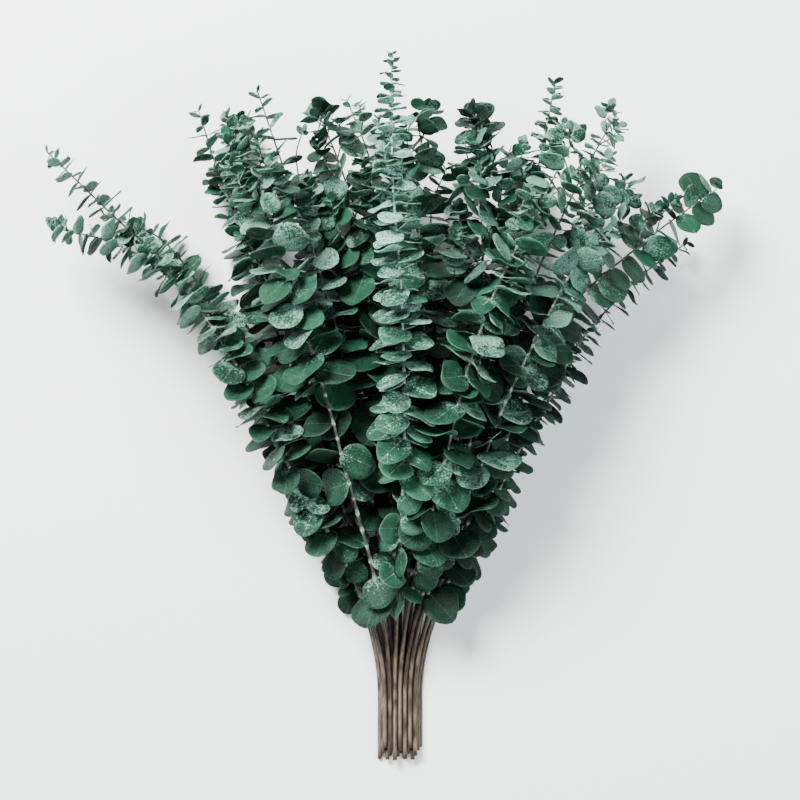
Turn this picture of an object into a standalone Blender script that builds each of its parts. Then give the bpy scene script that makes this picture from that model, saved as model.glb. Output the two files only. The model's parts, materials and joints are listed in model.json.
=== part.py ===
# Bunch of preserved eucalyptus, cut and laid down on a surface.
# X runs across the fan, Y from the cut ends to the tips, Z up from the surface.
import math
import random

import bmesh
import bpy
from mathutils import Matrix, Vector
from mathutils.bvhtree import BVHTree

MM = 0.001
SEED = 7

# The bare stems lie side by side in a low heap, three rows high, and fan out past GATHER_Y.
STEM_RADIUS = 1.7 * MM
TIP_RADIUS = 0.65 * MM
STEM_GAP = 0.35 * MM
CUT_END_Y = -58 * MM
CUT_END_STAGGER = 9 * MM
GATHER_Y = -12 * MM
STEM_RINGS = 10
FRAME_STEP = 12 * MM

# Leaves stand in crossed pairs from this height up, smaller and closer towards each tip.
LEAF_ZONE_Y = 64 * MM
FIRST_PAIR = 4 * MM
TIP_LEAF = 6.5 * MM
FULL_LEAF = 25 * MM
LEAF_GROWTH = 105 * MM
LEAF_VARIATION = 0.08
TIP_SPACING = 19 * MM
FULL_SPACING = 59 * MM
SPACING_GROWTH = 110 * MM
PAIR_WANDER = 0.2
LEAN_RANGE = (math.radians(6), math.radians(42))
TWIST = 0.6
BUD_REACH = 14 * MM
BUD_LEAN = math.radians(36)
STEEPEST_LEAN = math.radians(72)

# A blade is almost as wide as long, cupped, curled back, and narrow where it meets the stem.
BLADE_THICKNESS = 0.65 * MM
SMALL_LEAF_WIDTH = 0.78
LARGE_LEAF_WIDTH = 1.02
BLADE_CUP = 0.16
BLADE_CURL = 0.14
SHOULDER_WIDTH = 0.85
SHOULDER_RISE = 0.8 * MM
ROOT_DEPTH = 0.45
LARGE_LEAF = 15 * MM
LARGE_LEAF_SIDES = 7
SMALL_LEAF_SIDES = 5

# A leaf keeps clear of other sprays by the margin of a thicker, larger blade.
GUARD_THICKNESS = 1.5 * MM
GUARD_GROWTH = 1.05
SURFACE_GAP = 0.05 * MM

# Underside flat of the spray that carries the heap.
FLAT_DEPTH = 0.15 * MM
FLAT_CUTTER = (8 * MM, 160 * MM, 10 * MM)
SMOOTH_ANGLE = math.radians(40)

# Each spray: route of its stem above the gather (mm), size of its leaves, and its green.
BOTTOM_ROW = {
    "far_left_back": ([(-79, 172, 20), (-121, 249, 24), (-172, 324, 18), (-220, 347, 10)], 0.80, "mid"),
    "left_back_outer": ([(-55, 172, 20), (-88, 253, 26), (-111, 315, 24), (-123, 363, 18),
                         (-124, 413, 10)], 0.85, "deep"),
    "curved_twig": ([(-38, 172, 22), (-58, 290, 32), (-72, 362, 34), (-76, 389, 30), (-71, 408, 24)],
                    0.80, "deep"),
    "left_back_inner": ([(-19, 180, 20), (-31, 262, 25), (-45, 325, 22), (-60, 370, 13)], 1.00, "deep"),
    "centre_back": ([(-1, 180, 22), (-9, 311, 32), (-22, 384, 32), (-39, 430, 22)], 0.85, "deep"),
    "centre_right_back": ([(22, 172, 21), (26, 282, 25), (23, 348, 22), (34, 380, 14)], 0.95, "deep"),
    "right_back_inner": ([(43, 172, 22), (67, 260, 26), (84, 326, 24), (88, 381, 13)], 0.95, "deep"),
    "right_back_outer": ([(68, 172, 20), (103, 246, 24), (128, 304, 22), (144, 356, 12)], 0.90, "mid"),
    "far_right_back": ([(96, 187, 22), (128, 246, 25), (175, 298, 20), (213, 326, 11)], 0.90, "mid"),
}
MIDDLE_ROW = {
    "far_left_upper": ([(-85, 180, 44), (-144, 281, 62), (-212, 347, 60), (-256, 389, 50)], 0.75, "mid"),
    "left_slender": ([(-59, 187, 54), (-93, 288, 70), (-126, 360, 64), (-146, 419, 50)], 0.75, "mid"),
    "left_upright": ([(-30, 195, 64), (-55, 294, 88), (-82, 372, 86), (-102, 430, 72)], 0.90, "mid"),
    "broad_leaved": ([(-10, 187, 66), (-27, 308, 86), (-39, 365, 90), (-58, 413, 92)], 1.15, "deep"),
    "centre_right": ([(14, 180, 64), (17, 280, 80), (12, 373, 76), (22, 418, 62)], 0.95, "mid"),
    "right_tall": ([(45, 187, 62), (82, 301, 86), (99, 379, 88), (111, 436, 74)], 0.90, "mid"),
    "right_leaning": ([(56, 187, 58), (93, 288, 74), (125, 359, 74), (156, 416, 60)], 0.85, "mid"),
    "right_small_leaved": ([(90, 180, 46), (110, 213, 54), (126, 245, 54), (145, 269, 44)], 0.80, "pale"),
}
TOP_ROW = {
    "far_left_lower": ([(-93, 188, 80), (-142, 273, 90), (-193, 316, 76), (-255, 335, 52)], 0.90, "mid"),
    "left_front": ([(-44, 181, 92), (-76, 285, 122), (-99, 355, 118), (-115, 406, 104)], 0.95, "mid"),
    "centre_tall": ([(3, 174, 98), (1, 278, 130), (-5, 360, 140), (-6, 450, 120)], 1.00, "frosted"),
    "right_pale": ([(35, 181, 100), (62, 275, 128), (101, 352, 112), (125, 398, 92)], 0.95, "pale"),
    "right_dense": ([(50, 180, 76), (58, 279, 100), (56, 356, 112), (53, 407, 118)], 1.00, "deep"),
    "right_outer": ([(67, 188, 84), (99, 258, 98), (135, 323, 84), (164, 362, 66)], 0.95, "mid"),
    "far_right": ([(79, 187, 62), (114, 266, 74), (172, 320, 68), (231, 363, 48)], 1.00, "deep"),
}
ROWS = [BOTTOM_ROW, MIDDLE_ROW, TOP_ROW]
RESTING_SPRAY = "centre_back"

GREENS = {
    "deep": (0.012, 0.055, 0.032),
    "mid": (0.028, 0.120, 0.075),
    "pale": (0.110, 0.260, 0.180),
    "frosted": (0.240, 0.380, 0.350),
}


def clear_scene():
    for old in list(bpy.data.objects):
        bpy.data.objects.remove(old, do_unlink=True)


def new_collection(name):
    collection = bpy.data.collections.new(name)
    bpy.context.scene.collection.children.link(collection)
    return collection


def leaf_material(name, green):
    material = bpy.data.materials.new(name)
    material.use_nodes = True
    shader = material.node_tree.nodes["Principled BSDF"]
    shader.inputs["Base Color"].default_value = (*green, 1)
    shader.inputs["Roughness"].default_value = 0.55
    shader.inputs["Metallic"].default_value = 0
    material.diffuse_color = (*green, 1)
    return material


# Routes

def heap_slot(row, column, count):
    # Hexagonal packing: each row lies in the grooves of the row below. The six-sided stems
    # of the bottom row lie on a flat side.
    pitch = 2 * STEM_RADIUS + STEM_GAP
    x = (column - (count - 1) / 2) * pitch
    z = (STEM_RADIUS + row * pitch) * math.cos(math.radians(30))
    return Vector((x, 0, z))


def spray_route(row, column, count, points, sink):
    # The route runs straight along the heap, then through the spray's own points.
    slot = heap_slot(row, column, count) - Vector((0, 0, sink))
    stagger = CUT_END_STAGGER * (((column * 3 + row * 2) % 5) / 4)
    cut_end = slot + Vector((0, CUT_END_Y + stagger, 0))
    gather = slot + Vector((0, GATHER_Y, 0))
    return [cut_end, gather] + [Vector(p) * MM for p in points]


def route_rings(route):
    # Ring centres of a stem: its cut end, then even steps from the gather to the tip along a
    # cubic through the route's points, which leaves the heap parallel to Y.
    times = [0.0]
    for a, b in zip(route, route[1:]):
        times.append(times[-1] + (b - a).length)
    slopes = []
    for i in range(len(route)):
        before = max(i - 1, 0)
        after = min(i + 1, len(route) - 1)
        slopes.append((route[after] - route[before]) / (times[after] - times[before]))
    slopes[1] = Vector((0, 1, 0))
    rings = [route[0]]
    steps = STEM_RINGS - 2
    for step in range(steps + 1):
        time = times[1] + (times[-1] - times[1]) * step / steps
        i = max(k for k in range(1, len(route) - 1) if times[k] <= time)
        span = times[i + 1] - times[i]
        t = (time - times[i]) / span
        rings.append(route[i] * (2 * t**3 - 3 * t**2 + 1) + slopes[i] * span * (t**3 - 2 * t**2 + t)
                     + route[i + 1] * (3 * t**2 - 2 * t**3) + slopes[i + 1] * span * (t**3 - t**2))
    return rings


class Stem:
    # One spray's stem: its rings, and what a leaf needs to know at a point between them.
    def __init__(self, name, route, leaf_size, green):
        self.name = name
        self.leaf_size = leaf_size
        self.green = green
        self.rings = route_rings(route)
        self.distances = [0.0]
        for a, b in zip(self.rings, self.rings[1:]):
            self.distances.append(self.distances[-1] + (b - a).length)
        self.length = self.distances[-1]

    def at(self, distance):
        distance = min(max(distance, 0), self.length)
        i = max(k for k in range(STEM_RINGS - 1) if self.distances[k] <= distance)
        span = self.distances[i + 1] - self.distances[i]
        return self.rings[i].lerp(self.rings[i + 1], (distance - self.distances[i]) / span)

    def frame(self, distance):
        along = (self.at(distance + FRAME_STEP) - self.at(distance - FRAME_STEP)).normalized()
        side = along.cross(Vector((0, 0, 1))).normalized()
        return along, side, side.cross(along)

    def radius(self, distance):
        return STEM_RADIUS + (TIP_RADIUS - STEM_RADIUS) * distance / self.length


def stem_mesh(stem):
    # A tapered tube with a ring every so often, as a curve with round bevel and filled ends.
    curve = bpy.data.curves.new(stem.name + "_stem", "CURVE")
    curve.dimensions = "3D"
    curve.bevel_depth = 1
    curve.bevel_resolution = 1
    curve.use_fill_caps = True
    spline = curve.splines.new("POLY")
    spline.points.add(STEM_RINGS - 1)
    for point, ring, distance in zip(spline.points, stem.rings, stem.distances):
        point.co = (*ring, 1)
        point.radius = stem.radius(distance)
    tube = bpy.data.objects.new(stem.name + "_stem", curve)
    bpy.context.scene.collection.objects.link(tube)
    evaluated = tube.evaluated_get(bpy.context.evaluated_depsgraph_get())
    mesh = bpy.data.meshes.new_from_object(evaluated)
    bpy.data.objects.remove(tube)
    bpy.data.curves.remove(curve)
    work = bmesh.new()
    work.from_mesh(mesh)
    bmesh.ops.remove_doubles(work, verts=work.verts, dist=0.00001)
    bmesh.ops.recalc_face_normals(work, faces=work.faces)
    work.to_mesh(mesh)
    work.free()
    mesh.name = stem.name
    return mesh


# Leaves

def blade(length, width, thickness, place):
    # A round leaf with a narrow root, cupped and curled back. It is triangulated before it
    # gets its thickness, so that both of its faces are split alike.
    sides = LARGE_LEAF_SIDES if length > LARGE_LEAF else SMALL_LEAF_SIDES
    work = bmesh.new()
    bmesh.ops.create_circle(work, cap_ends=True, segments=sides, radius=0.5)
    bmesh.ops.rotate(work, matrix=Matrix.Rotation(math.pi, 3, "Z"), verts=work.verts)
    root = min(work.verts, key=lambda v: v.co.y)
    shoulders = [edge.other_vert(root) for edge in root.link_edges]
    bmesh.ops.connect_vert_pair(work, verts=shoulders)
    bmesh.ops.triangulate(work, faces=[face for face in work.faces if len(face.verts) > 3])
    for vert in work.verts:
        across = vert.co.x * width
        along = (vert.co.y + 0.5) * length
        if vert in shoulders:
            across *= SHOULDER_WIDTH
            along += SHOULDER_RISE
        lift = BLADE_CUP * abs(across) - BLADE_CURL * along * along / length
        vert.co = (across, along, lift - thickness / 2)
    bmesh.ops.solidify(work, geom=work.faces[:], thickness=-thickness)
    bmesh.ops.recalc_face_normals(work, faces=work.faces)
    bmesh.ops.transform(work, matrix=place, verts=work.verts)
    return work


def leaf_place(stem, distance, turn, lean, twist):
    # The leaf points away from the stem at the angle turn, leans towards the tip by lean,
    # and is rolled about its own length by twist. Its root is inside the stem.
    along, side, up = stem.frame(distance)
    outward = side * math.cos(turn) + up * math.sin(turn)
    reach = outward * math.cos(lean) + along * math.sin(lean)
    face = along * math.cos(lean) - outward * math.sin(lean)
    across = reach.cross(face)
    root = stem.at(distance) + outward * stem.radius(distance) * ROOT_DEPTH
    turned = Matrix((across, reach, face)).transposed().to_4x4()
    return Matrix.Translation(root) @ turned @ Matrix.Rotation(twist, 4, "Y")


def leaf_length(stem, from_tip):
    growth = 1 - math.exp(-from_tip / LEAF_GROWTH)
    return stem.leaf_size * (TIP_LEAF + (FULL_LEAF - TIP_LEAF) * growth)


def pair_distances(stem):
    # Distances of the leaf pairs from the tip, closer together towards it.
    distances = []
    from_tip = FIRST_PAIR
    while stem.at(stem.length - from_tip).y > LEAF_ZONE_Y:
        distances.append(from_tip)
        from_tip += TIP_SPACING + (FULL_SPACING - TIP_SPACING) * (1 - math.exp(-from_tip / SPACING_GROWTH))
    return distances


class Crowd:
    # What already stands in the bunch, so that a new leaf can be set clear of it.
    def __init__(self):
        self.members = []

    def add(self, owner, work):
        centre, reach = extent(work)
        self.members.append((owner, centre, reach, BVHTree.FromBMesh(work)))

    def touches(self, work, skip=None, only=None):
        centre, reach = extent(work)
        tree = BVHTree.FromBMesh(work)
        for owner, other_centre, other_reach, other in self.members:
            if owner == skip or (only and owner != only):
                continue
            if (centre - other_centre).length < reach + other_reach and tree.overlap(other):
                return True
        return False


def extent(work):
    centre = Vector()
    for vert in work.verts:
        centre += vert.co
    centre /= len(work.verts)
    return centre, max((vert.co - centre).length for vert in work.verts)


def trials():
    # Small turns, leans and cuts in size to try for a leaf that meets something.
    for size in (1, 0.88, 0.76):
        for turn in (0, 14, -14, 28, -28, 42, -42):
            for lean in (0, 14, -12, 28, 42):
                yield math.radians(turn), math.radians(lean), size


def set_leaf(stem, stem_crowd, leaf_crowd, distance, length, turn, lean, twist):
    # The first free trial is kept; a leaf with no room is left off.
    roundness = SMALL_LEAF_WIDTH + (LARGE_LEAF_WIDTH - SMALL_LEAF_WIDTH) * min(length / FULL_LEAF, 1)
    for more_turn, more_lean, size in trials():
        place = leaf_place(stem, distance, turn + more_turn, min(lean + more_lean, STEEPEST_LEAN), twist)
        reach = length * size
        leaf = blade(reach, reach * roundness, BLADE_THICKNESS, place)
        guard = blade(reach * GUARD_GROWTH, reach * roundness * GUARD_GROWTH, GUARD_THICKNESS, place)
        meets_surface = min(vert.co.z for vert in leaf.verts) < SURFACE_GAP
        meets_other_spray = (stem_crowd.touches(guard, skip=stem.name)
                             or leaf_crowd.touches(guard, skip=stem.name))
        meets_own_leaf = leaf_crowd.touches(leaf, only=stem.name)
        guard.free()
        if not (meets_surface or meets_other_spray or meets_own_leaf):
            leaf_crowd.add(stem.name, leaf)
            return leaf
        leaf.free()
    return None


def lay_out_leaves(stems, draw):
    # Pairs are set tip first, one for each spray in turn, so that all keep their tips.
    stem_crowd = Crowd()
    leaf_crowd = Crowd()
    for stem in stems:
        work = bmesh.new()
        work.from_mesh(stem_mesh(stem))
        stem_crowd.add(stem.name, work)
        work.free()
    leaves = {stem.name: [] for stem in stems}
    starts = {stem.name: draw.uniform(0, math.pi) for stem in stems}
    pairs = {stem.name: pair_distances(stem) for stem in stems}
    for k in range(max(len(p) for p in pairs.values())):
        for stem in stems:
            if k >= len(pairs[stem.name]):
                continue
            from_tip = pairs[stem.name][k]
            closing = math.exp(-from_tip / BUD_REACH)
            for half in (0, math.pi):
                turn = starts[stem.name] + k * math.pi / 2 + half + draw.uniform(-PAIR_WANDER, PAIR_WANDER)
                lean = draw.uniform(*LEAN_RANGE) + closing * BUD_LEAN
                twist = draw.uniform(-TWIST, TWIST) * (1 - closing)
                length = leaf_length(stem, from_tip) * draw.uniform(1 - LEAF_VARIATION, 1 + LEAF_VARIATION)
                leaf = set_leaf(stem, stem_crowd, leaf_crowd, stem.length - from_tip, length, turn, lean,
                                twist)
                if leaf:
                    leaves[stem.name].append(leaf)
    return leaves


# Sprays

def join_spray(stem, leaves, loose_leaves):
    # The stem and its leaves become one solid.
    spray = bpy.data.objects.new(stem.name, stem_mesh(stem))
    bpy.context.scene.collection.objects.link(spray)
    for i, work in enumerate(leaves):
        mesh = bpy.data.meshes.new(f"{stem.name}_leaf_{i}")
        work.to_mesh(mesh)
        work.free()
        loose_leaves.objects.link(bpy.data.objects.new(mesh.name, mesh))
    union = spray.modifiers.new("leaves", "BOOLEAN")
    union.operation = "UNION"
    union.operand_type = "COLLECTION"
    union.collection = loose_leaves
    union.solver = "EXACT"
    evaluated = spray.evaluated_get(bpy.context.evaluated_depsgraph_get())
    joined = bpy.data.meshes.new_from_object(evaluated)
    spray.modifiers.clear()
    spray.data = joined
    joined.name = stem.name
    joined.shade_smooth()
    joined.set_sharp_from_angle(angle=SMOOTH_ANGLE)
    for leaf in list(loose_leaves.objects):
        bpy.data.objects.remove(leaf)
    bpy.context.scene.collection.objects.unlink(spray)
    return spray


def flatten_underside(spray, cutters, middle):
    # The stem in the middle of the bottom row has a narrow flat where it lies on the surface.
    bpy.ops.mesh.primitive_cube_add(size=1, location=(0, CUT_END_Y, -FLAT_CUTTER[2] / 2))
    cutter = bpy.context.object
    cutter.name = "surface_cutter"
    cutter.scale = FLAT_CUTTER
    cutter.parent = middle
    cutter.hide_render = True
    cutter.display_type = "WIRE"
    for collection in list(cutter.users_collection):
        collection.objects.unlink(cutter)
    cutters.objects.link(cutter)
    flat = spray.modifiers.new("underside", "BOOLEAN")
    flat.operation = "DIFFERENCE"
    flat.object = cutter
    flat.solver = "EXACT"


def main():
    clear_scene()
    bunch = new_collection("preserved_eucalyptus_bunch")
    loose_leaves = new_collection("loose_leaves")
    cutters = new_collection("cutters")
    draw = random.Random(SEED)
    stems = []
    for row, sprays in enumerate(ROWS):
        for column, (name, (points, leaf_size, green)) in enumerate(sprays.items()):
            sink = FLAT_DEPTH if name == RESTING_SPRAY else 0
            route = spray_route(row, column, len(sprays), points, sink)
            stems.append(Stem(name, route, leaf_size, green))
    leaves = lay_out_leaves(stems, draw)
    middle = bpy.data.objects.new("bunch_middle", None)
    bunch.objects.link(middle)
    sprays = []
    for stem in stems:
        spray = join_spray(stem, leaves[stem.name], loose_leaves)
        spray.data.materials.clear()
        spray.data.materials.append(leaf_material(stem.name + "_leaves", GREENS[stem.green]))
        bunch.objects.link(spray)
        spray.parent = middle
        sprays.append(spray)
        if stem.name == RESTING_SPRAY:
            flatten_underside(spray, cutters, middle)
    # The origin is under the middle of the bunch's box, on the surface.
    corners = [vert.co for spray in sprays for vert in spray.data.vertices]
    middle.location.x = -(min(c.x for c in corners) + max(c.x for c in corners)) / 2
    middle.location.y = -(min(c.y for c in corners) + max(c.y for c in corners)) / 2


main()
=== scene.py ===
import json
import math
import random

import bmesh
import bpy
from mathutils import Matrix, Vector
from mathutils.bvhtree import BVHTree


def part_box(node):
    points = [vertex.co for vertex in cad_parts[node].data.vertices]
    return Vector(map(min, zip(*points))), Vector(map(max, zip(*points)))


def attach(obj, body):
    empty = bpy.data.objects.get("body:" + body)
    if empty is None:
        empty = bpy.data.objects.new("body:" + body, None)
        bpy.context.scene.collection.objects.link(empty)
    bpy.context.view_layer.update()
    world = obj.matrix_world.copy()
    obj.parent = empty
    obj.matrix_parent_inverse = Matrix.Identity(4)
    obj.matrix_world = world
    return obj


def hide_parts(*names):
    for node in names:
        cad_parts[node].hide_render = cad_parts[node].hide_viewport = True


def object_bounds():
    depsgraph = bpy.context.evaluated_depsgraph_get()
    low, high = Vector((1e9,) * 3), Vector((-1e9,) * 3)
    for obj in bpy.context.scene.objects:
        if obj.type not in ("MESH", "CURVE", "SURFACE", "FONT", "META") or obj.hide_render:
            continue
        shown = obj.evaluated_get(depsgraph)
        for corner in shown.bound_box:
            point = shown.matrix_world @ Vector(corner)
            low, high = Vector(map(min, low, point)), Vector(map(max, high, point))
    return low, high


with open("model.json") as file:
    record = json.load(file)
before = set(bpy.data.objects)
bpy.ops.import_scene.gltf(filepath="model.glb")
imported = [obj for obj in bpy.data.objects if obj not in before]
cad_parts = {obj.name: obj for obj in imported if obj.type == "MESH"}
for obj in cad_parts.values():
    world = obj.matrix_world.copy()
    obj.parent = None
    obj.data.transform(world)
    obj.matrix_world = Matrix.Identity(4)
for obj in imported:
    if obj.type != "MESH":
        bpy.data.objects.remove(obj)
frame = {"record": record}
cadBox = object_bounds()
mm = 0.001

# every spray: row in the heap of stems, route above the gather in mm, leaf size, finish and habit
sprays = {
    "far_left_back": (0, [(-79, 172, 20), (-121, 249, 24), (-172, 324, 18), (-220, 347, 10)],
                      0.85, "mid", "slender"),
    "left_back_outer": (0, [(-55, 172, 20), (-88, 253, 26), (-111, 315, 24), (-123, 363, 18),
                            (-124, 413, 10)], 0.90, "deep", "broad"),
    "curved_twig": (0, [(-38, 172, 22), (-58, 290, 32), (-72, 362, 34), (-76, 389, 30), (-71, 408, 24)],
                    0.95, "deep", "bare"),
    "left_back_inner": (0, [(-19, 180, 20), (-31, 262, 25), (-45, 325, 22), (-60, 370, 13)],
                        1.08, "deep", "broad"),
    "centre_back": (0, [(-1, 180, 22), (-9, 311, 32), (-22, 384, 32), (-39, 430, 22)],
                    0.85, "mid", "open"),
    "centre_right_back": (0, [(22, 172, 21), (26, 282, 25), (23, 348, 22), (34, 380, 14)],
                          1.00, "deep", "slender"),
    "right_back_inner": (0, [(43, 172, 22), (67, 260, 26), (84, 326, 24), (88, 381, 13)],
                         0.95, "deep", "broad"),
    "right_back_outer": (0, [(68, 172, 20), (103, 246, 24), (128, 304, 22), (144, 356, 12)],
                         0.90, "mid", "stacked"),
    "far_right_back": (0, [(96, 187, 22), (128, 246, 25), (175, 298, 20), (213, 326, 11)],
                       0.85, "deep", "slender"),
    "far_left_upper": (1, [(-85, 180, 44), (-144, 281, 62), (-212, 347, 60), (-256, 389, 50)],
                       0.85, "mid", "slender"),
    "left_slender": (1, [(-59, 187, 54), (-93, 288, 70), (-126, 360, 64), (-146, 419, 50)],
                     0.90, "mid", "open"),
    "left_upright": (1, [(-30, 195, 64), (-55, 294, 88), (-82, 372, 86), (-102, 430, 72)],
                     0.95, "mid", "open"),
    "broad_leaved": (1, [(-10, 187, 66), (-27, 308, 86), (-39, 365, 90), (-58, 413, 92)],
                     1.00, "deep", "crumpled"),
    "centre_right": (1, [(14, 180, 64), (17, 280, 80), (12, 373, 76), (22, 418, 62)],
                     1.00, "mid", "broad"),
    "right_tall": (1, [(45, 187, 62), (82, 301, 86), (99, 379, 88), (111, 436, 74)],
                   0.90, "mid", "spiral"),
    "right_leaning": (1, [(56, 187, 58), (93, 288, 74), (125, 359, 74), (156, 416, 60)],
                      0.90, "mid", "stacked"),
    "right_small_leaved": (1, [(90, 180, 46), (110, 213, 54), (126, 245, 54), (145, 269, 44)],
                           0.80, "pale", "stacked"),
    "far_left_lower": (2, [(-93, 188, 80), (-142, 273, 90), (-193, 316, 76), (-255, 335, 52)],
                       0.90, "mid", "hanging"),
    "left_front": (2, [(-44, 181, 92), (-76, 285, 122), (-99, 355, 118), (-115, 406, 104)],
                   0.90, "mid", "broad"),
    "centre_tall": (2, [(3, 174, 98), (1, 278, 130), (-5, 360, 140), (-6, 450, 120)],
                    1.00, "frosted", "column"),
    "right_pale": (2, [(35, 181, 100), (62, 275, 128), (101, 352, 112), (125, 398, 92)],
                   0.90, "pale", "broad"),
    "right_dense": (2, [(50, 180, 76), (58, 279, 100), (56, 356, 112), (53, 407, 118)],
                    1.00, "deep", "crowded"),
    "right_outer": (2, [(67, 188, 84), (99, 258, 98), (135, 323, 84), (164, 362, 66)],
                    0.95, "deep", "crowded"),
    "far_right": (2, [(79, 187, 62), (114, 266, 74), (172, 320, 68), (231, 363, 48)],
                  0.95, "deep", "facing"),
}

# how the leaves stand on a spray, from its tip down to its lowest leaves: lengths and gaps in mm,
# reach of the growth in mm, angles in degrees
habits = {
    "column": {"leaf": (7.0, 36), "growth": 260, "gap": (4.5, 9.4), "lean": (-12, 16), "tilt": (12, 22),
               "twist": (12, 14), "width": (0.80, 1.02), "bend": 0.9, "bud": 0.45, "droop": 1.6,
               "lowestTilt": 45},
    "stacked": {"leaf": (7.5, 27), "growth": 130, "gap": (4.5, 12.0), "lean": (-8, 24), "tilt": (12, 18),
                "twist": (12, 18), "width": (0.80, 1.02), "bend": 0.9, "bud": 0.45},
    "slender": {"leaf": (13.5, 27), "growth": 120, "gap": (6.4, 9.8), "lean": (-10, 14), "tilt": (4, 22),
                "twist": (8, 20), "width": (0.55, 0.98), "bend": 0.6, "bud": 0.55, "droop": 0.3},
    "open": {"leaf": (12.5, 27), "growth": 110, "gap": (9.0, 13.0), "lean": (-8, 14), "tilt": (4, 20),
             "twist": (8, 18), "width": (0.52, 1.00), "bend": 0.6, "bud": 0.55, "droop": 0.5},
    "broad": {"leaf": (16.0, 31), "growth": 80, "gap": (5.4, 14.0), "lean": (-12, 34), "tilt": (30, 26),
              "twist": (28, 20), "width": (0.92, 1.05), "bend": 1.1, "bud": 0.45},
    "crowded": {"leaf": (18.0, 31), "growth": 100, "gap": (4.8, 13.4), "lean": (-10, 44), "tilt": (32, 22),
                "twist": (38, 24), "width": (0.90, 1.04), "bend": 1.2, "bud": 0.25},
    "crumpled": {"leaf": (21.0, 34), "growth": 90, "gap": (5.4, 14.0), "lean": (-25, 25), "tilt": (44, 26),
                 "twist": (30, 20), "width": (0.98, 1.08), "bend": 1.8, "bud": 0.35},
    "facing": {"leaf": (24.0, 26), "growth": 110, "gap": (11.0, 11.5), "lean": (6, 34), "tilt": (78, 26),
               "twist": (10, 16), "width": (0.88, 0.98), "bend": 0.6, "bud": 0.35, "droop": 0.6, "flat": 0.6},
    "hanging": {"leaf": (12.0, 27), "growth": 115, "gap": (5.5, 9.8), "lean": (-8, 20), "tilt": (48, 16),
                "twist": (24, 18), "width": (0.80, 1.00), "bend": 0.8, "bud": 0.20},
    "spiral": {"leaf": (8.0, 27), "growth": 160, "gap": (4.4, 11.5), "lean": (-12, 12), "tilt": (6, 14),
               "twist": (10, 20), "width": (0.80, 1.02), "bend": 0.8, "bud": 0.0},
    "bare": {"leaf": (8.0, 27), "growth": 90, "gap": (5.0, 12.0), "bareTip": 36, "lean": (-8, 30),
             "tilt": (22, 20), "twist": (26, 24), "width": (0.85, 1.04), "bend": 1.2, "bud": 0.45},
}

# side shoots: mm below the spray's tip, direction round the stem in degrees (0 right, 90 up,
# 180 left), length in mm, leaf size
sideShoots = {
    "right_dense": [(7, 90, 9, 1.35), (9, 165, 12, 1.35), (13, 10, 16, 1.35), (20, 80, 14, 1.35),
                    (22, 175, 18, 1.35), (30, 5, 22, 1.35), (38, 95, 22, 1.30), (60, 85, 30, 1.25),
                    (42, 170, 28, 1.25), (54, 15, 30, 1.25), (70, 165, 40, 1.15), (88, 15, 46, 1.15),
                    (108, 170, 50, 1.10), (124, 160, 50, 1.10)],
    "broad_leaved": [(12, 170, 10, 1.45), (18, 0, 14, 1.45), (28, 175, 16, 1.35), (36, 10, 26, 1.25),
                     (56, 165, 34, 1.10), (80, 20, 44, 1.00), (96, 10, 50, 1.00), (110, 150, 50, 1.00)],
    "left_front": [(10, 175, 16, 1.00), (20, 10, 20, 1.00), (36, 165, 28, 1.00), (50, 20, 34, 1.00),
                   (70, 150, 40, 1.00), (84, 25, 50, 1.00)],
    "left_back_outer": [(18, 10, 20, 1.00), (36, 20, 34, 1.00), (60, 165, 30, 1.00), (76, 15, 40, 1.00)],
    "left_back_inner": [(12, 165, 20, 1.00), (50, 160, 36, 1.00)],
    "left_upright": [(84, 160, 36, 0.90), (110, 20, 40, 0.95)],
    "left_slender": [(80, 20, 36, 0.85), (110, 30, 46, 0.90)],
    "curved_twig": [(70, 165, 30, 1.00), (84, 15, 30, 1.00)],
    "centre_back": [(30, 40, 24, 0.80), (60, 20, 40, 0.90), (96, 20, 46, 0.95), (112, 30, 50, 1.00)],
    "centre_right": [(16, 165, 18, 1.10), (26, 150, 22, 1.10), (44, 165, 32, 1.05), (64, 150, 36, 1.05),
                     (84, 165, 40, 1.05)],
    "centre_right_back": [(96, 5, 46, 1.00), (106, 350, 46, 1.00), (120, 20, 56, 1.00),
                          (112, 165, 46, 1.00)],
    "centre_tall": [(96, 120, 28, 0.80)],
    "right_back_inner": [(16, 150, 28, 0.90), (40, 20, 36, 0.90), (80, 160, 44, 0.95)],
    "right_tall": [(9, 175, 5, 1.30), (7, 60, 4, 1.30), (60, 20, 32, 0.80), (90, 160, 44, 0.85)],
    "right_pale": [(26, 155, 26, 0.90), (60, 20, 40, 0.90), (95, 150, 40, 0.90)],
    "right_leaning": [(16, 170, 20, 0.90), (28, 15, 22, 0.90), (66, 20, 36, 0.90)],
    "right_back_outer": [(24, 170, 24, 0.80), (54, 20, 34, 0.90)],
    "right_outer": [(14, 160, 18, 0.95), (24, 20, 20, 0.95), (60, 20, 30, 0.90)],
    "far_left_lower": [(20, 60, 16, 0.90), (100, 20, 30, 0.85)],
    "far_left_upper": [(110, 170, 30, 0.85)],
    "far_right": [(60, 175, 30, 0.90), (80, 165, 36, 0.90)],
}
shootShape = {"lean": 32, "straighten": 0.3, "habit": "broad", "leaf": 0.80, "gap": 0.82, "growth": 55,
              "rootRadius": 0.7 * mm, "tipRadius": 0.35 * mm, "bareFoot": 6 * mm}

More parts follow.
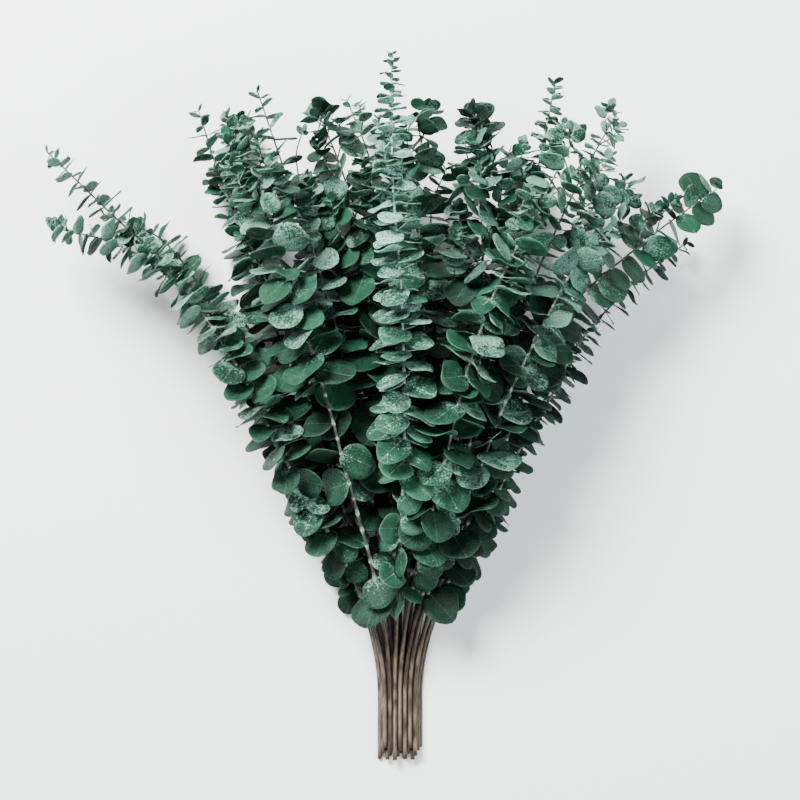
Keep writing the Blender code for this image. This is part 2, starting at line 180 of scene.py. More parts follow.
# stretches where leaves have come off: heights above the gather in mm, share of the leaves
thinned = {
    "left_front": (85, 215, 0.80), "left_upright": (80, 215, 0.80), "left_slender": (90, 250, 0.45),
    "broad_leaved": (80, 200, 0.62), "left_back_inner": (60, 190, 0.50), "right_dense": (90, 190, 0.35),
    "right_leaning": (90, 190, 0.30), "right_tall": (90, 190, 0.30), "right_back_outer": (140, 265, 0.40),
    "right_outer": (150, 260, 0.25), "far_right_back": (90, 200, 0.35), "far_right": (90, 180, 0.25),
    "centre_tall": (60, 165, 0.50),
}

# sprays with more or less bloom than the others of their finish
dusting = {"far_left_upper": 0.12, "far_left_lower": 0.12, "far_left_back": 0.10, "left_slender": 0.02,
           "left_upright": -0.15, "left_back_inner": -0.10, "broad_leaved": -0.35, "centre_right": -0.25,
           "centre_right_back": -0.28, "right_tall": 0.15, "right_leaning": 0.22, "right_outer": 0.48,
           "right_back_outer": 0.20, "far_right": -0.50, "left_front": -0.15,
           "left_back_outer": -0.10, "right_dense": -0.22, "right_back_inner": -0.15}

# the heap of bare stems, as the solids have it
heap = {"stemRadius": 1.7 * mm, "tipRadius": 0.5 * mm, "taper": 1.0, "gap": 0.35 * mm, "cutEnd": -58 * mm,
        "stagger": 9 * mm, "gather": -12 * mm, "sink": 0.15 * mm, "sunkSpray": "centre_back"}

# the resting stem gives the sideways shift of the origin, the tallest spray's cut end the other
restMount = next(m for m in frame["record"]["mounts"] if m["name"] == "rest")
shift = Vector((restMount["pos_m"][0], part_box("centre_tall")[0].y - heap["cutEnd"], 0))


# Routes

def heapSlot(row, column, count):
    pitch = 2 * heap["stemRadius"] + heap["gap"]
    z = (heap["stemRadius"] + row * pitch) * math.cos(math.radians(30))
    return Vector(((column - (count - 1) / 2) * pitch, 0, z))


def sprayRoute(name):
    row, points = sprays[name][:2]
    rowNames = [other for other in sprays if sprays[other][0] == row]
    column = rowNames.index(name)
    slot = heapSlot(row, column, len(rowNames))
    if name == heap["sunkSpray"]:
        slot.z -= heap["sink"]
    stagger = heap["stagger"] * (((column * 3 + row * 2) % 5) / 4)
    ends = [slot + Vector((0, heap["cutEnd"] + stagger, 0)), slot + Vector((0, heap["gather"], 0))]
    return [p + shift for p in ends + [Vector(p) * mm for p in points]]


class Stem:
    # centre line of a spray or side shoot: a smooth cubic through the points of its route
    def __init__(self, name, route, leafSize, habit, radii, straightFoot):
        self.name = name
        self.route = route
        self.leafSize = leafSize
        self.finish = sprays[name][3]
        self.habit = habit
        self.radii = radii
        self.times = [0.0]
        for a, b in zip(self.route, self.route[1:]):
            self.times.append(self.times[-1] + (b - a).length)
        last = len(self.route) - 1
        self.slopes = [(self.route[min(i + 1, last)] - self.route[max(i - 1, 0)])
                       / (self.times[min(i + 1, last)] - self.times[max(i - 1, 0)]) for i in range(last + 1)]
        if straightFoot:
            self.slopes[0] = self.slopes[1] = Vector((0, 1, 0))
        self.length = self.times[-1]

    def at(self, distance):
        distance = min(max(distance, 0), self.length)
        i = max(k for k in range(len(self.route) - 1) if self.times[k] <= distance)
        span = self.times[i + 1] - self.times[i]
        t = (distance - self.times[i]) / span
        return (self.route[i] * (2 * t**3 - 3 * t**2 + 1) + self.slopes[i] * span * (t**3 - 2 * t**2 + t)
                + self.route[i + 1] * (3 * t**2 - 2 * t**3) + self.slopes[i + 1] * span * (t**3 - t**2))

    def axes(self, distance):
        along = (self.at(distance + 2 * mm) - self.at(distance - 2 * mm)).normalized()
        side = along.cross(Vector((0, 0, 1))).normalized()
        return along, side, side.cross(along)

    def radius(self, distance):
        toTip = 1 - min(distance / self.length, 1)
        return self.radii[1] + (self.radii[0] - self.radii[1]) * toTip**heap["taper"]


def sprayStem(name):
    leafSize, finish, habit = sprays[name][2:]
    radii = (heap["stemRadius"], heap["tipRadius"])
    return Stem(name, sprayRoute(name), leafSize, habits[habit], radii, True)


def shootStem(parent, belowTip, turn, length, leafSize):
    # a side shoot leaves the stem at an angle and straightens up towards its tip
    start = parent.length - belowTip * mm
    along, side, up = parent.axes(start)
    outward = side * math.cos(math.radians(turn)) + up * math.sin(math.radians(turn))
    lean = math.radians(shootShape["lean"])
    root = parent.at(start)
    bend = root + (along * math.cos(lean) + outward * math.sin(lean)) * length * mm * 0.5
    lean *= shootShape["straighten"]
    tip = bend + (along * math.cos(lean) + outward * math.sin(lean)) * length * mm * 0.5
    radii = (min(shootShape["rootRadius"], parent.radius(start)), shootShape["tipRadius"])
    habit = dict(habits[shootShape["habit"]], growth=shootShape["growth"])
    habit["leaf"] = (habit["leaf"][0] * shootShape["leaf"], habit["leaf"][1])
    habit["gap"] = tuple(g * shootShape["gap"] for g in habit["gap"])
    return Stem(parent.name, [root, bend, tip], parent.leafSize * leafSize, habit, radii, False)


# Leaves

leafShape = {
    # the sheet of a leaf, and the most that it cups, creases, curls and waves
    "grid": (5, 7), "thickness": 0.4 * mm, "lobe": 0.10, "point": 0.05, "wobble": 0.05,
    "cup": 0.14, "crease": 0.07, "curl": 0.15, "wave": 0.04, "phase": 6.28,
    # from leaf to leaf: shares of that, and of length and width
    "cupped": (-0.4, 1.6), "creased": (0, 1.6), "curled": (-1.0, 1.6), "waved": (0.2, 1.6),
    "longer": (0.86, 1.14), "wider": (0.92, 1.08), "looser": 2.4, "looseShare": 0.12,
    # pairs along a stem, from the tip down: turn at the tip in radians, closed buds in degrees
    "firstLeaf": 64 * mm, "firstGap": 0.8 * mm, "budGap": 0.5, "leafyReach": 330, "rootDepth": 0.55,
    "start": 0.25, "wander": 0.22, "budLean": 34, "budReach": 8 * mm,
    # how far a leaf may move to find room, in radians, and how small it may get
    "tries": 18, "turnAway": 0.7, "leanAway": 0.6, "leanLimits": (-0.9, 1.25), "smallest": 0.62,
    "boxMargin": 0.3 * mm,
    # leaves that point up droop, old ones less; old ones at the sides hang, in degrees
    "droop": 30, "stiff": 0.6, "oldDroop": 22,
    # heights above the gather over which leaves turn from old to young, and over which the painted shade of
    # the low leaves fades
    "oldLine": (170 * mm, 310 * mm), "lowestLine": (110 * mm, 190 * mm),
}
fallShare = {"side": 0.6, "top": 0.8}


def leafTemplate():
    # a grid pressed into a disc, root at the origin, one long and one wide, with its own map
    work = bmesh.new()
    columns, rows = leafShape["grid"]
    bmesh.ops.create_grid(work, x_segments=columns, y_segments=rows, size=1)
    uv = work.loops.layers.uv.new("leafMap")
    work.verts.layers.float.new("toneAndPaintedShade")
    work.verts.layers.float.new("frost")
    for vert in work.verts:
        a, b = vert.co.x, vert.co.y
        vert.co = (a * math.sqrt(1 - b * b / 2) / 2, (b * math.sqrt(1 - a * a / 2) + 1) / 2, 0)
        t = vert.co.y
        s = abs(vert.co.x) * 2
        vert.co.y += leafShape["point"] * t**6 * (1 - s)**2 - leafShape["lobe"] * s * (1 - t)**3
    for face in work.faces:
        for loop in face.loops:
            loop[uv].uv = (loop.vert.co.x + 0.5, loop.vert.co.y)
    mesh = bpy.data.meshes.new("leafTemplate")
    work.to_mesh(mesh)
    work.free()
    return mesh


template = leafTemplate()


def shapeLeaf(length, width, bends, place):
    # cup, crease, curl and a wavy margin, then into place
    cup, crease, curl, wave, phase = bends
    work = bmesh.new()
    work.from_mesh(template)
    for vert in work.verts:
        x, y = vert.co.x, vert.co.y
        edge = min(1, 4 * x * x + (2 * y - 1)**2)
        turn = math.atan2(y - 0.5, x)
        z = (cup * 4 * x * x + crease * abs(2 * x) - curl * y * y) * length * 0.5
        z += wave * length * edge**2 * math.sin(3 * turn + phase) * min(1, y * 3)
        wobble = 1 + leafShape["wobble"] * math.sin(2 * turn + phase * 1.7) * min(1, y * 3)
        vert.co = (x * width * wobble, y * length * wobble, z)
    bmesh.ops.transform(work, matrix=place, verts=work.verts)
    return work


def leafPlace(stem, distance, turn, lean, tilt, twist):
    # a leaf on the right or left is tilted to show its upper face from above
    along, side, up = stem.axes(distance)
    outward = side * math.cos(turn) + up * math.sin(turn)
    reach = outward * math.cos(lean) + along * math.sin(lean)
    face = along * math.cos(lean) - outward * math.sin(lean)
    turned = Matrix((reach.cross(face), reach, face)).transposed().to_4x4()
    twist += tilt * math.cos(turn)
    root = stem.at(distance) + outward * stem.radius(distance) * leafShape["rootDepth"]
    return Matrix.Translation(root) @ turned @ Matrix.Rotation(twist, 4, "Y")


def between(pair, share):
    return pair[0] + (pair[1] - pair[0]) * share


def pairDistances(stem):
    # the gaps between pairs widen evenly from the tip down
    habit, found, fromTip = stem.habit, [], leafShape["firstGap"]
    while (fromTip < stem.length - shootShape["bareFoot"]
           and stem.at(stem.length - fromTip).y - shift.y > leafShape["firstLeaf"]):
        found.append(fromTip)
        gap = between(habit["gap"], min(fromTip / mm / leafShape["leafyReach"], 1)) * mm
        fromTip += gap * (1 - leafShape["budGap"] * math.exp(-fromTip / leafShape["budReach"]))
        if len(found) == 2:
            fromTip += habit.get("bareTip", 0) * mm
    return found


class Crowd:
    # what already stands in the bunch
    def __init__(self):
        self.cells, self.size = {}, 30 * mm

    def spread(self, work):
        lows = [min(v.co[i] for v in work.verts) for i in range(3)]
        highs = [max(v.co[i] for v in work.verts) for i in range(3)]
        spans = [range(int(lo // self.size), int(hi // self.size) + 1) for lo, hi in zip(lows, highs)]
        return [(i, j, k) for i in spans[0] for j in spans[1] for k in spans[2]]

    def add(self, owner, work):
        member = (owner, BVHTree.FromBMesh(work))
        for cell in self.spread(work):
            self.cells.setdefault(cell, []).append(member)

    def touches(self, work, skip=None):
        tree, seen = BVHTree.FromBMesh(work), set()
        for cell in self.spread(work):
            for owner, other in self.cells.get(cell, []):
                if owner != skip and id(other) not in seen:
                    seen.add(id(other))
                    if tree.overlap(other):
                        return True
        return False


def insideBox(work):
    lo, hi = cadBox
    gap = leafShape["boxMargin"]
    return all(lo[i] + gap < v.co[i] < hi[i] - gap for v in work.verts for i in range(3))


def rise(line, height):
    low, high = line
    return min(max((height - low) / (high - low), 0), 1)


def fallen(stem, fromTip, turn, draw):
    # in a thinned stretch the leaves that point up fall first
    low, high, share = thinned.get(stem.name, (0, 0, 0))
    height = (stem.at(stem.length - fromTip).y - shift.y) / mm
    share *= fallShare["side"] + fallShare["top"] * math.sin(turn)
    return low < height < high and draw.random() < share


def setLeaf(stem, stemCrowd, leafCrowd, fromTip, turn, draw):
    # the leaf is turned, leaned and made a little smaller until it has room
    habit, shape = stem.habit, leafShape
    closing = math.exp(-fromTip / shape["budReach"])
    grown = 1 - math.exp(-fromTip / mm / habit["growth"])
    length = stem.leafSize * between(habit["leaf"], grown) * mm * draw.uniform(*shape["longer"])
    length *= 1 - habit["bud"] * closing
    roundness = between(habit["width"], grown) * draw.uniform(*shape["wider"])
    lean = math.radians(draw.uniform(*habit["lean"]) + closing * shape["budLean"])
    height = stem.at(stem.length - fromTip).y - shift.y
    old = 1 - rise(shape["oldLine"], height)
    droop = shape["droop"] * draw.random() * grown * habit.get("droop", 1) * (1 - shape["stiff"] * old)
    turn = math.atan2(math.sin(turn) * (1 - habit.get("flat", 0)), math.cos(turn))
    lean -= math.radians(droop) * max(math.sin(turn), 0)
    lean -= math.radians(shape["oldDroop"]) * old * abs(math.cos(turn))
    lowest = 1 - rise(shape["lowestLine"], height)
    tilt = math.radians(between(habit["tilt"], grown) + habit.get("lowestTilt", 0) * lowest)
    looser = shape["looser"] if draw.random() < shape["looseShare"] else 1
    twist = math.radians(draw.gauss(0, between(habit["twist"], grown))) * looser
    bends = [shape[most] * draw.uniform(*shape[share]) * habit["bend"] for most, share in
             (("cup", "cupped"), ("crease", "creased"), ("curl", "curled"), ("wave", "waved"))]
    bends.append(draw.uniform(0, shape["phase"]))
    for attempt in range(shape["tries"]):
        give = attempt / shape["tries"]
        turned = turn + draw.gauss(0, shape["turnAway"]) * give
        leaned = lean + draw.gauss(0, shape["leanAway"]) * give
        leaned = min(max(leaned, shape["leanLimits"][0]), shape["leanLimits"][1])
        twisted = twist + draw.gauss(0, shape["leanAway"]) * give
        place = leafPlace(stem, stem.length - fromTip, turned, leaned, tilt, twisted)
        size = 1 - (1 - shape["smallest"]) * give
        leaf = shapeLeaf(length * size, length * size * roundness, bends, place)
        if insideBox(leaf) and not stemCrowd.touches(leaf, stem.name) and not leafCrowd.touches(leaf):
            leafCrowd.add(stem.name, leaf)
            return leaf
        leaf.free()
    return None


# Twigs

twigShape = {"sides": 8, "step": 7 * mm, "closest": 0.8 * mm, "knot": 0.28, "knotReach": 1.3 * mm,
             "knotRings": (-1.4 * mm, 0, 1.4 * mm), "jointReach": 1.5 * mm}


def twigRings(stem, pairs):
    # ring distances with their radii, swollen where leaves grow, and how near a joint is
    knots = sorted(stem.length - p for p in pairs)
    stops = {i * twigShape["step"] for i in range(1, int(stem.length / twigShape["step"]))}
    stops |= {k + d for k in knots for d in twigShape["knotRings"]}
    kept = [0.0]
    for stop in sorted(stops):
        if stop - kept[-1] > twigShape["closest"] and stop < stem.length - twigShape["closest"]:
            kept.append(stop)
    kept.append(stem.length)
    rings = []
    for stop in kept:
        near = min((abs(stop - k) for k in knots), default=1)
        swell = twigShape["knot"] * math.exp(-(near / twigShape["knotReach"])**2)
        rings.append((stop, stem.radius(stop) * (1 + swell), math.exp(-(near / twigShape["jointReach"])**2)))
    return rings


def growTwig(stem, pairs):
    # the cut end is a disc, which is extruded from ring to ring up to the tip
    work = bmesh.new()
    bmesh.ops.create_circle(work, cap_ends=True, segments=twigShape["sides"], radius=1)
    nearJoint = work.verts.layers.float.new("joint")
    face = work.faces[:][0]
    last = None
    for stop, radius, joint in twigRings(stem, pairs):
        along, side, up = stem.axes(stop)
        place = Matrix.Translation(stem.at(stop)) @ Matrix((side, up, along)).transposed().to_4x4()
        place = place @ Matrix.Diagonal((radius, radius, radius, 1))
        if last is None:
            bmesh.ops.transform(work, matrix=place, verts=face.verts)
        else:
            grown = bmesh.ops.extrude_face_region(work, geom=[face])["geom"]
            face = next(g for g in grown if isinstance(g, bmesh.types.BMFace))
            bmesh.ops.transform(work, matrix=place @ last.inverted(), verts=face.verts)
        for vert in face.verts:
            vert[nearJoint] = joint
        last = place
    bmesh.ops.recalc_face_normals(work, faces=work.faces)
    for vert in work.verts:
        vert.co.z = max(vert.co.z, 0)   # the resting stems are flat where they meet the surface
    return work


# Shader maths

class Shade:
    # a shader socket that can stand in a sum
    def __init__(self, socket):
        self.socket = socket
        self.tree = socket.id_data

    @classmethod
    def node(cls, tree, kind, settings=None, inputs=None, out=0):
        made = tree.nodes.new(kind)
        for name, value in (settings or {}).items():
            setattr(made, name, value)
        for key, value in (inputs or {}).items():
            if isinstance(value, Shade):
                tree.links.new(value.socket, made.inputs[key])
            else:
                made.inputs[key].default_value = value
        return cls(made.outputs[out])

    def maths(self, operation, a, b=0.0, clamp=False):
        return Shade.node(self.tree, "ShaderNodeMath", {"operation": operation, "use_clamp": clamp},
                          {0: a, 1: b})

    def __add__(self, other):
        return self.maths("ADD", self, other)

    def __radd__(self, other):
        return self.maths("ADD", other, self)

    def __sub__(self, other):
        return self.maths("SUBTRACT", self, other)

    def __rsub__(self, other):
        return self.maths("SUBTRACT", other, self)

    def __mul__(self, other):
        return self.maths("MULTIPLY", self, other)

    def __rmul__(self, other):
        return self.maths("MULTIPLY", other, self)

    def __abs__(self):
        return self.maths("ABSOLUTE", self)

    def sine(self):
        return self.maths("SINE", self)

    def clamped(self):
        return self.maths("ADD", self, 0.0, True)

    def step(self, low, high):
        # smooth rise from 0 to 1 between low and high
        return Shade.node(self.tree, "ShaderNodeMapRange", {"interpolation_type": "SMOOTHSTEP"},
                          {"Value": self, "From Min": low, "From Max": high})

    def blend(self, a, b):
        # colour a where this is 0 and b where it is 1
        return Shade.node(self.tree, "ShaderNodeMix", {"data_type": "RGBA"}, {0: self, 6: a, 7: b}, 2)


def newMaterial(name):
    material = bpy.data.materials.new(name)
    material.use_nodes = True
    tree = material.node_tree
    return material, tree, tree.nodes["Principled BSDF"]


def noise(tree, where, scale, detail=2.0, roughness=0.5):
    return Shade.node(tree, "ShaderNodeTexNoise", {},
                      {"Vector": where, "Scale": scale, "Detail": detail, "Roughness": roughness})


def weighed(values, weights):
    # the sum of the values, each with its own weight
    terms = [values[name] * weights[name] for name in weights]
    total = terms[0]
    for term in terms[1:]:
        total = total + term
    return total


def relief(tree, shader, height, strength, distance):
    bump = Shade.node(tree, "ShaderNodeBump", {}, {"Strength": strength, "Distance": distance,
                                                   "Height": height})
    tree.links.new(bump.socket, shader.inputs["Normal"])


# finish of the leaves: leaf green from dark to light, colour, spread and strength of the waxy bloom
leafPaint = {
    "deep": {"dark": (0.0006, 0.0046, 0.0024), "light": (0.0046, 0.044, 0.0200),
             "bloom": (0.118, 0.248, 0.198), "spread": 0.34, "strength": 0.72, "flecked": 0.64},
    "mid": {"dark": (0.0010, 0.0080, 0.0043), "light": (0.0135, 0.084, 0.042),
            "bloom": (0.185, 0.345, 0.282), "spread": 0.41, "strength": 0.80, "flecked": 0.64},
    "pale": {"dark": (0.0018, 0.013, 0.0070), "light": (0.0125, 0.086, 0.045),
             "bloom": (0.160, 0.325, 0.245), "spread": 0.42, "strength": 0.78, "flecked": 0.52},
    "frosted": {"dark": (0.0040, 0.028, 0.0170), "light": (0.0220, 0.090, 0.046),
                "bloom": (0.300, 0.540, 0.460), "spread": 0.43, "strength": 0.86, "flecked": 0.76},
}
leafPattern = {
    # scales of the noises, the net and the side veins, and where each line starts and ends
    "patch": 120, "mottle": 620, "speck": 2400, "fleck": 820, "net": 560, "veins": 44, "veinSlant": 0.55,
    "waver": 3, "midrib": (0.010, 0.050), "veinLine": (0.80, 1.0), "netLine": (0.02, 0.16),
    "margin": (0.88, 1.0), "footLine": (0.0, 0.55), "fleckLine": (0.45, 0.57),
    # where the bloom starts, how soft its edge is, and how much of it the veins keep without it
    "bloomEdge": 1.12, "bloomSoft": (0.11, 0.14), "veinsKeep": 0.35, "rim": 0.22,
    "matt": 0.46, "bump": 0.75, "relief": 0.45 * mm, "specular": 0.18, "tint": (0.78, 1.0, 0.92, 1),
}
leafWeights = {
    "green": {"toneAndPaintedShade": 0.8, "patches": 0.8, "mottle": 1.3}, "lift": 0.08,
    "bloom": {"patches": 0.45, "mottle": 0.85, "specks": 0.30, "net": 0.06, "veins": 0.05,
              "midrib": 0.10, "foot": 0.22, "frost": 0.38},
    "veined": {"midrib": 0.20, "net": 0.08, "veins": 0.08},
    "matt": {"cover": 0.16, "specks": 0.18},
    "relief": {"midrib": 0.8, "veins": 0.3, "net": 0.35, "mottle": 1.0, "specks": 0.4},
}


def leafMarks(tree, coords):
    # everything that is drawn on a leaf, each 0 to 1
    scale = leafPattern
    leafMap = Shade.node(tree, "ShaderNodeUVMap", {"uv_map": "leafMap"})
    u = Shade.node(tree, "ShaderNodeSeparateXYZ", {}, {0: leafMap}, 0)
    v = Shade.node(tree, "ShaderNodeSeparateXYZ", {}, {0: leafMap}, 1)
    across = abs(u - 0.5) * 2
    patches = noise(tree, coords, scale["patch"])
    veins = (v - across * scale["veinSlant"]) * scale["veins"] + patches * scale["waver"]
    net = Shade.node(tree, "ShaderNodeTexVoronoi", {"feature": "DISTANCE_TO_EDGE"},
                     {"Vector": coords, "Scale": scale["net"]})
    return {
        "toneAndPaintedShade": Shade.node(tree, "ShaderNodeAttribute", {"attribute_name": "toneAndPaintedShade"}, out=2),
        "frost": Shade.node(tree, "ShaderNodeAttribute", {"attribute_name": "frost"}, out=2) - 0.5,
        "patches": patches,
        "mottle": noise(tree, coords, scale["mottle"], 3, 0.65),
        "specks": noise(tree, coords, scale["speck"], 2, 0.6),
        "flecks": noise(tree, coords, scale["fleck"], 3, 0.7).step(*scale["fleckLine"]),
        "midrib": 1 - across.step(*scale["midrib"]),
        "veins": veins.sine().step(*scale["veinLine"]),
        "net": 1 - net.step(*scale["netLine"]),
        "margin": (across * across + (v * 2 - 1) * (v * 2 - 1)).step(*scale["margin"]),
        "foot": 1 - v.step(*scale["footLine"]),
    }


def leafMaterial(finish):
    look, scale, weights = leafPaint[finish], leafPattern, leafWeights
    material, tree, shader = newMaterial("leaf_" + finish)
    marks = leafMarks(tree, Shade.node(tree, "ShaderNodeTexCoord", out=3))
    bloom = (*look["bloom"], 1)
    # the green itself, from leaf to leaf and within a leaf, darker on low leaves, partly as painted shade
    even = {"toneAndPaintedShade": marks["toneAndPaintedShade"], "patches": marks["patches"] - 0.5, "mottle": marks["mottle"] - 0.5}
    green = (weighed(even, weights["green"]) + weights["lift"]).clamped()
    green = green.blend((*look["dark"], 1), (*look["light"], 1))
    # the bloom lies in flecks, thicker towards the leaf's foot, the midrib and the veins, and thinner on low
    # leaves, partly as painted shade
    edge = scale["bloomEdge"] - look["spread"] * 0.5
    soft = scale["bloomSoft"]
    cover = weighed(marks, weights["bloom"]).step(edge - soft[0], edge + soft[1])
    dusted = (cover * look["strength"]).blend(green, bloom)
    dusted = (marks["flecks"] * look["flecked"]).blend(dusted, green)
    worn = cover * (1 - scale["veinsKeep"]) + scale["veinsKeep"]
    veined = (weighed(marks, weights["veined"]) * worn).blend(dusted, bloom)
    rimmed = (marks["margin"] * worn * scale["rim"]).blend(veined, bloom)
    tree.links.new(rimmed.socket, shader.inputs["Base Color"])
    matt = weighed(dict(marks, cover=cover), weights["matt"]) + scale["matt"]
    tree.links.new(matt.socket, shader.inputs["Roughness"])
    relief(tree, shader, weighed(marks, weights["relief"]), scale["bump"], scale["relief"])
    shader.inputs["Specular IOR Level"].default_value = scale["specular"]
    shader.inputs["Specular Tint"].default_value = scale["tint"]
    return material


twigPaint = {
    "plain": {"dark": (0.005, 0.007, 0.004), "light": (0.019, 0.024, 0.016), "bloom": (0.26, 0.40, 0.33),
              "joints": 0.44, "cover": (0.62, 0.92)},
    "frosted": {"dark": (0.014, 0.026, 0.019), "light": (0.075, 0.120, 0.095), "bloom": (0.42, 0.60, 0.54),
                "joints": 0.52, "cover": (0.52, 0.84)},
    "bare": {"dark": (0.016, 0.010, 0.006), "light": (0.085, 0.058, 0.036), "reach": (20 * mm, 120 * mm)},
    "cut": {"wood": (0.300, 0.215, 0.120), "pith": (0.130, 0.080, 0.042)},
}


twigPattern = {
    # scales of the streaks, which are drawn out along the stem, the blotches and the specks
    "drawn": (1, 0.12, 1), "streak": 900, "blotch": 110, "speck": 1400, "grain": 1500,
    "grownLine": (0.32, 0.68), "bareLine": (0.30, 0.70), "grainLine": (0.35, 0.70),
    # bloom on the leafy part and on the bare foot, gloss and relief
    "leafyBloom": 0.60, "bareBloom": 0.06, "specked": 0.8, "matt": 0.5, "mattSpecks": 0.3,
    "bump": 0.7, "bumpSpecks": 0.5, "relief": 0.3 * mm, "cutMatt": 0.8,
}


def twigMaterial(kind):
    look, foot, scale = twigPaint[kind], twigPaint["bare"], twigPattern
    material, tree, shader = newMaterial("twig_" + kind)
    coords = Shade.node(tree, "ShaderNodeTexCoord", out=3)
    drawn = Shade.node(tree, "ShaderNodeMapping", {}, {"Vector": coords, "Scale": scale["drawn"]})
    streaks = noise(tree, drawn, scale["streak"], 3, 0.6)
    blotches = noise(tree, coords, scale["blotch"], 3, 0.6)
    specks = noise(tree, coords, scale["speck"], 2, 0.6)
    grown = streaks.step(*scale["grownLine"]).blend((*look["dark"], 1), (*look["light"], 1))
    bare = streaks.step(*scale["bareLine"]).blend((*foot["dark"], 1), (*foot["light"], 1))
    height = Shade.node(tree, "ShaderNodeSeparateXYZ", {}, {0: coords}, 1)
    leafy = height.step(*[shift.y + reach for reach in foot["reach"]])
    bark = leafy.blend(bare, grown)
    joint = Shade.node(tree, "ShaderNodeAttribute", {"attribute_name": "joint"}, out=2)
    cover = (blotches + (specks - 0.5) * scale["specked"] + joint * look["joints"]).step(*look["cover"])
    bloomed = cover * (leafy * scale["leafyBloom"] + scale["bareBloom"])
    tree.links.new(bloomed.blend(bark, (*look["bloom"], 1)).socket, shader.inputs["Base Color"])
    matt = specks * scale["mattSpecks"] + scale["matt"]
    tree.links.new(matt.socket, shader.inputs["Roughness"])
    relief(tree, shader, streaks + specks * scale["bumpSpecks"], scale["bump"], scale["relief"])
    return material


def cutWoodMaterial():
    look, scale = twigPaint["cut"], twigPattern
    material, tree, shader = newMaterial("cut_wood")
    coords = Shade.node(tree, "ShaderNodeTexCoord", out=3)
    grain = noise(tree, coords, scale["grain"]).step(*scale["grainLine"])
    wood = grain.blend((*look["wood"], 1), (*look["pith"], 1))
    tree.links.new(wood.socket, shader.inputs["Base Color"])
    shader.inputs["Roughness"].default_value = scale["cutMatt"]
    return material


# Pieces

def newPiece(name, work, materials, nodeName):
    mesh = bpy.data.meshes.new(name)
    work.to_mesh(mesh)
    work.free()
    mesh.shade_smooth()
    for material in materials:
        mesh.materials.append(material)
    piece = bpy.data.objects.new(name, mesh)
    bpy.context.scene.collection.objects.link(piece)
    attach(piece, "root")
    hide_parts(nodeName)
    return piece


leafTint = {
    # tones lean to the dark, bloom from a leaf without any to a white one
    "toneCurve": 1.5, "frost": (-0.15, 1.10), "frosted": (0.38, 0.94), "frostLine": (150 * mm, 270 * mm),
    # old leaves low on the stems lose bloom and are darker, row by row of the heap, partly their age and
    # partly painted shade of the dark inside of the bunch; young ones have more bloom
    "bloomLossWithAgeAndPaintedShade": (0.8, 0.85, 0.62), "darkeningWithAgeAndPaintedShade": (0.85, 0.80, 0.70),
    "youngLine": (260 * mm, 380 * mm), "youngGain": 0.24,
}


def paintLeaf(stem, leaf, draw):
    # one shade of green for each leaf, and more or less bloom; low leaves darker, partly as painted shade
    tint = leafTint
    toneAndPaintedShade = draw.random()**tint["toneCurve"]
    frost = draw.uniform(*tint["frost"]) + dusting.get(stem.name, 0)
    height = sum(v.co.y for v in leaf.verts) / len(leaf.verts) - shift.y
    if stem.finish == "frosted":
        frost = between(tint["frosted"], frost) * rise(tint["frostLine"], height)
    else:
        # leaves low on the stems lose bloom and get darker: partly the colour of old leaves, partly painted
        # shade of the dark inside of the bunch
        row, old = sprays[stem.name][0], 1 - rise(leafShape["oldLine"], height)
        frost += tint["youngGain"] * rise(tint["youngLine"], height) - tint["bloomLossWithAgeAndPaintedShade"][row] * old
        toneAndPaintedShade *= 1 - tint["darkeningWithAgeAndPaintedShade"][row] * old
    layers = leaf.verts.layers.float
    for vert in leaf.verts:
        vert[layers["toneAndPaintedShade"]] = toneAndPaintedShade
        vert[layers["frost"]] = frost


def joined(parts):
    # several small bmeshes as one
    whole = bmesh.new()
    for part in parts:
        single = bpy.data.meshes.new("single")
        part.to_mesh(single)
        part.free()
        whole.from_mesh(single)
        bpy.data.meshes.remove(single)
    return whole


def growStems():
    mainStems = {name: sprayStem(name) for name in sprays}
    shoots = [shootStem(mainStems[name], *place) for name in sideShoots for place in sideShoots[name]]
    return list(mainStems.values()) + shoots


def growTwigs(stems, pairs):
    twigs, stemCrowd = {name: [] for name in sprays}, Crowd()
    for stem, found in zip(stems, pairs):
        twig = growTwig(stem, found)
        stemCrowd.add(stem.name, twig)
        twigs[stem.name].append(twig)
    print("twigs grown:", len(stems))
    return twigs, stemCrowd


def setLeaves(stems, pairs, stemCrowd, draw):
    # from the tips down, one pair on each stem in turn
    leaves, leafCrowd, missed = {name: [] for name in sprays}, Crowd(), 0
    starts = [math.pi / 4 + draw.gauss(0, leafShape["start"]) for stem in stems]
    for k in range(max(len(found) for found in pairs)):
        for stem, found, start in zip(stems, pairs, starts):
            if k >= len(found):
                continue
            for half in (0, math.pi):
                turn = start + k * math.pi / 2 + half + draw.uniform(-1, 1) * leafShape["wander"]
                if fallen(stem, found[k], turn, draw):
                    continue
                leaf = setLeaf(stem, stemCrowd, leafCrowd, found[k], turn, draw)
                if leaf:
                    paintLeaf(stem, leaf, draw)
                    leaves[stem.name].append(leaf)
                else:
                    missed += 1
    print("leaves set:", sum(len(grown) for grown in leaves.values()), "no room for:", missed)
    return leaves


def makePieces(twigs, leaves):
    finishes = {finish: leafMaterial(finish) for finish in leafPaint}
    barks = {kind: twigMaterial(kind) for kind in ("plain", "frosted")}
    cutWood = cutWoodMaterial()
    for name in sprays:
        finish = sprays[name][3]
        foliage = newPiece(name + "_foliage", joined(leaves[name]), [finishes[finish]], name)
        solid = foliage.modifiers.new("thickness", "SOLIDIFY")
        solid.thickness = leafShape["thickness"]
        solid.offset = 0
        bark = barks["frosted" if finish == "frosted" else "plain"]
        twig = newPiece(name + "_twig", joined(twigs[name]), [bark, cutWood], name)
        for polygon in twig.data.polygons:
            if len(polygon.vertices) > 4 and polygon.center.y < shift.y + heap["gather"]:
                polygon.material_index = 1   # the cut end
                polygon.use_smooth = False
    print("pieces made:", 2 * len(sprays))


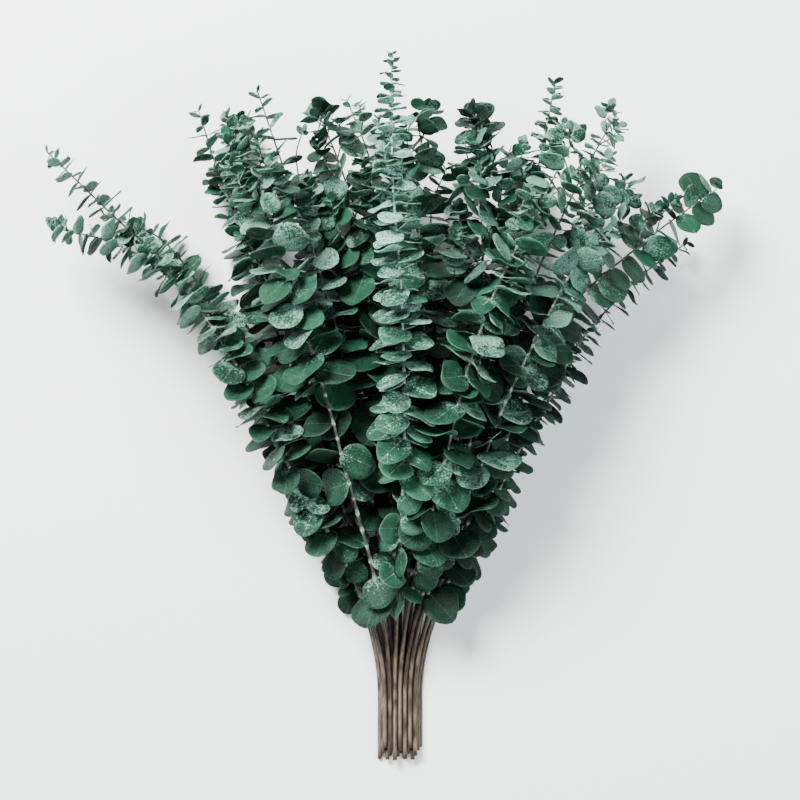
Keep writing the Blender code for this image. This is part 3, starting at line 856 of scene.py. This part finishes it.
def buildBunch():
    draw = random.Random(11)
    stems = growStems()
    pairs = [pairDistances(stem) for stem in stems]
    twigs, stemCrowd = growTwigs(stems, pairs)
    makePieces(twigs, setLeaves(stems, pairs, stemCrowd, draw))


buildBunch()
bpy.data.meshes.remove(template)


# Floor, light and camera

stageLook = {"floor": (0.83, 0.86, 0.86), "floorMatt": 0.9, "floorSize": 6.0, "sky": (0.93, 0.98, 1.0),
             "skyStrength": 0.36, "lampsAim": (0, 0, 0.05)}
lamps = {
    "key": {"place": (-0.9, 1.3, 1.6), "size": 1.1, "watts": 262, "colour": (1.0, 1.0, 0.98)},
    "fill": {"place": (1.3, -0.4, 1.5), "size": 1.6, "watts": 60, "colour": (0.94, 0.98, 1.0)},
}
cameraLook = {"height": 1.8, "middle": (0, 209 * mm), "framed": 0.576, "plane": 60 * mm, "sensor": 36}


def aim(thing, target):
    thing.rotation_euler = (Vector(target) - thing.location).to_track_quat("-Z", "Y").to_euler()


def setStage():
    work = bmesh.new()
    bmesh.ops.create_grid(work, x_segments=1, y_segments=1, size=stageLook["floorSize"] / 2)
    mesh = bpy.data.meshes.new("floor")
    work.to_mesh(mesh)
    work.free()
    material, tree, shader = newMaterial("pale_floor")
    shader.inputs["Base Color"].default_value = (*stageLook["floor"], 1)
    shader.inputs["Roughness"].default_value = stageLook["floorMatt"]
    mesh.materials.append(material)
    floor = bpy.data.objects.new("floor", mesh)
    bpy.context.scene.collection.objects.link(floor)
    world = bpy.data.worlds.new("sky")
    world.use_nodes = True
    background = world.node_tree.nodes["Background"]
    background.inputs["Color"].default_value = (*stageLook["sky"], 1)
    background.inputs["Strength"].default_value = stageLook["skyStrength"]
    bpy.context.scene.world = world
    for name, look in lamps.items():
        light = bpy.data.lights.new(name, "AREA")
        light.shape = "DISK"
        light.size = look["size"]
        light.energy = look["watts"]
        light.color = look["colour"]
        lamp = bpy.data.objects.new(name, light)
        lamp.location = look["place"]
        bpy.context.scene.collection.objects.link(lamp)
        aim(lamp, stageLook["lampsAim"])


def setCamera():
    data = bpy.data.cameras.new("camera")
    data.sensor_width = cameraLook["sensor"]
    away = cameraLook["height"] - cameraLook["plane"]
    data.lens = cameraLook["sensor"] * away / cameraLook["framed"]
    camera = bpy.data.objects.new("camera", data)
    x, y = cameraLook["middle"]
    camera.location = Vector((x, y, cameraLook["height"])) + shift
    camera.rotation_euler = (0, 0, 0)
    bpy.context.scene.collection.objects.link(camera)
    bpy.context.scene.camera = camera


setStage()
setCamera()
print("stage set")
